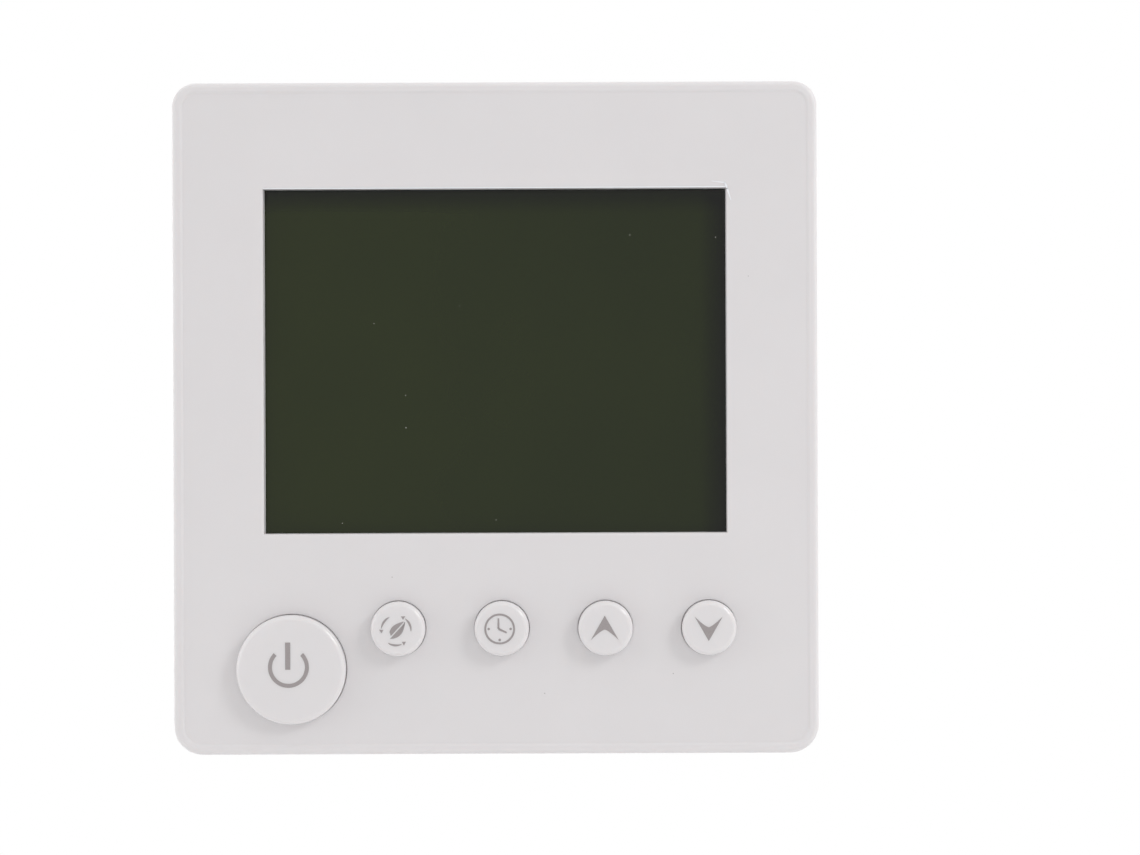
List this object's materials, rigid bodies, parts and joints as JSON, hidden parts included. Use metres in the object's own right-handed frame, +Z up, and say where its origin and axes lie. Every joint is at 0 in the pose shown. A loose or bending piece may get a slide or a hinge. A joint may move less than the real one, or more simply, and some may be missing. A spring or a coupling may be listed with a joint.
{
  "type": "wall thermostat",
  "caption": "Square wall thermostat with a liquid-crystal display, round keys, and a power box that sinks into a wall box.",
  "frame": {"origin": "centre of the wall surface behind the thermostat, midway between the two wall screws", "axes": "+X to the right as the user faces the display, +Y into the wall (the display faces -Y), +Z up"},
  "size_m": [0.0864, 0.0442, 0.09],
  "materials": {
    "cover_plastic": "gloss",
    "key_plastic": "gloss",
    "display_film": "gloss",
    "display_glass": "gloss",
    "light_sheet": "matte",
    "inner_plastic": "matte",
    "board_laminate": "satin",
    "chip_resin": "matte",
    "switch_plastic": "satin",
    "plated_steel": "satin",
    "galvanised_steel": "satin",
    "zinc_screw": "gloss",
    "contact_rubber": "matte",
    "sensor_bead": "gloss",
    "box_plastic": "satin",
    "power_laminate": "satin",
    "relay_plastic": "satin",
    "ferrite": "matte",
    "bobbin_tape": "satin",
    "can_sleeve": "gloss",
    "film_case": "satin",
    "varistor_coat": "satin",
    "fuse_body": "satin",
    "terminal_plastic": "satin",
    "pin_brass": "gloss"
  },
  "bodies": {
    "base": {"mounting_plate": "galvanised_steel", "wall_screws": "zinc_screw", "plate_screws": "zinc_screw", "power_box": "box_plastic", "box_lid": "box_plastic", "power_board": "power_laminate", "relays": "relay_plastic", "transformer_core": "ferrite", "transformer_bobbin": "bobbin_tape", "filter_capacitors": "can_sleeve", "film_capacitor": "film_case", "varistor": "varistor_coat", "fuse": "fuse_body", "terminal_block": "terminal_plastic", "terminal_screws": "zinc_screw", "terminal_clamps": "plated_steel", "terminal_pins": "pin_brass", "header_body": "switch_plastic", "header_pins": "pin_brass"},
    "front_unit": {"front_cover": "cover_plastic", "rear_cover": "inner_plastic", "switch_bodies": "switch_plastic", "switch_cover_plates": "plated_steel", "display_front_polariser": "display_film", "display_front_glass": "display_glass", "display_rear_glass": "display_glass", "display_rear_polariser": "display_film", "backlight_diffuser": "light_sheet", "light_guide": "light_sheet", "reflector_sheet": "light_sheet", "display_holder": "inner_plastic", "zebra_strip": "contact_rubber", "backlight_leds": "light_sheet", "control_board": "board_laminate", "board_screws": "zinc_screw", "microcontroller": "chip_resin", "board_chips": "chip_resin", "clock_crystal": "plated_steel", "coin_cell": "plated_steel", "cell_clip": "plated_steel", "room_sensor": "sensor_bead", "board_socket": "switch_plastic"},
    "power_key": {"power_button": "key_plastic", "power_switch_stem": "switch_plastic"},
    "mode_key": {"mode_button": "key_plastic", "mode_switch_stem": "switch_plastic"},
    "clock_key": {"clock_button": "key_plastic", "clock_switch_stem": "switch_plastic"},
    "up_key": {"up_button": "key_plastic", "up_switch_stem": "switch_plastic"},
    "down_key": {"down_button": "key_plastic", "down_switch_stem": "switch_plastic"}
  },
  "joints": [
    {"name": "front_release", "type": "slide", "parent": "base", "child": "front_unit", "axis": [0, -1, 0], "range_m": [0, 0.03]},
    {"name": "power_press", "type": "slide", "parent": "front_unit", "child": "power_key", "axis": [0, 1, 0], "range_m": [0, 0.0004], "stiffness_N_per_m": 400},
    {"name": "mode_press", "type": "slide", "parent": "front_unit", "child": "mode_key", "axis": [0, 1, 0], "range_m": [0, 0.0004], "stiffness_N_per_m": 400},
    {"name": "clock_press", "type": "slide", "parent": "front_unit", "child": "clock_key", "axis": [0, 1, 0], "range_m": [0, 0.0004], "stiffness_N_per_m": 400},
    {"name": "up_press", "type": "slide", "parent": "front_unit", "child": "up_key", "axis": [0, 1, 0], "range_m": [0, 0.0004], "stiffness_N_per_m": 400},
    {"name": "down_press", "type": "slide", "parent": "front_unit", "child": "down_key", "axis": [0, 1, 0], "range_m": [0, 0.0004], "stiffness_N_per_m": 400}
  ]
}
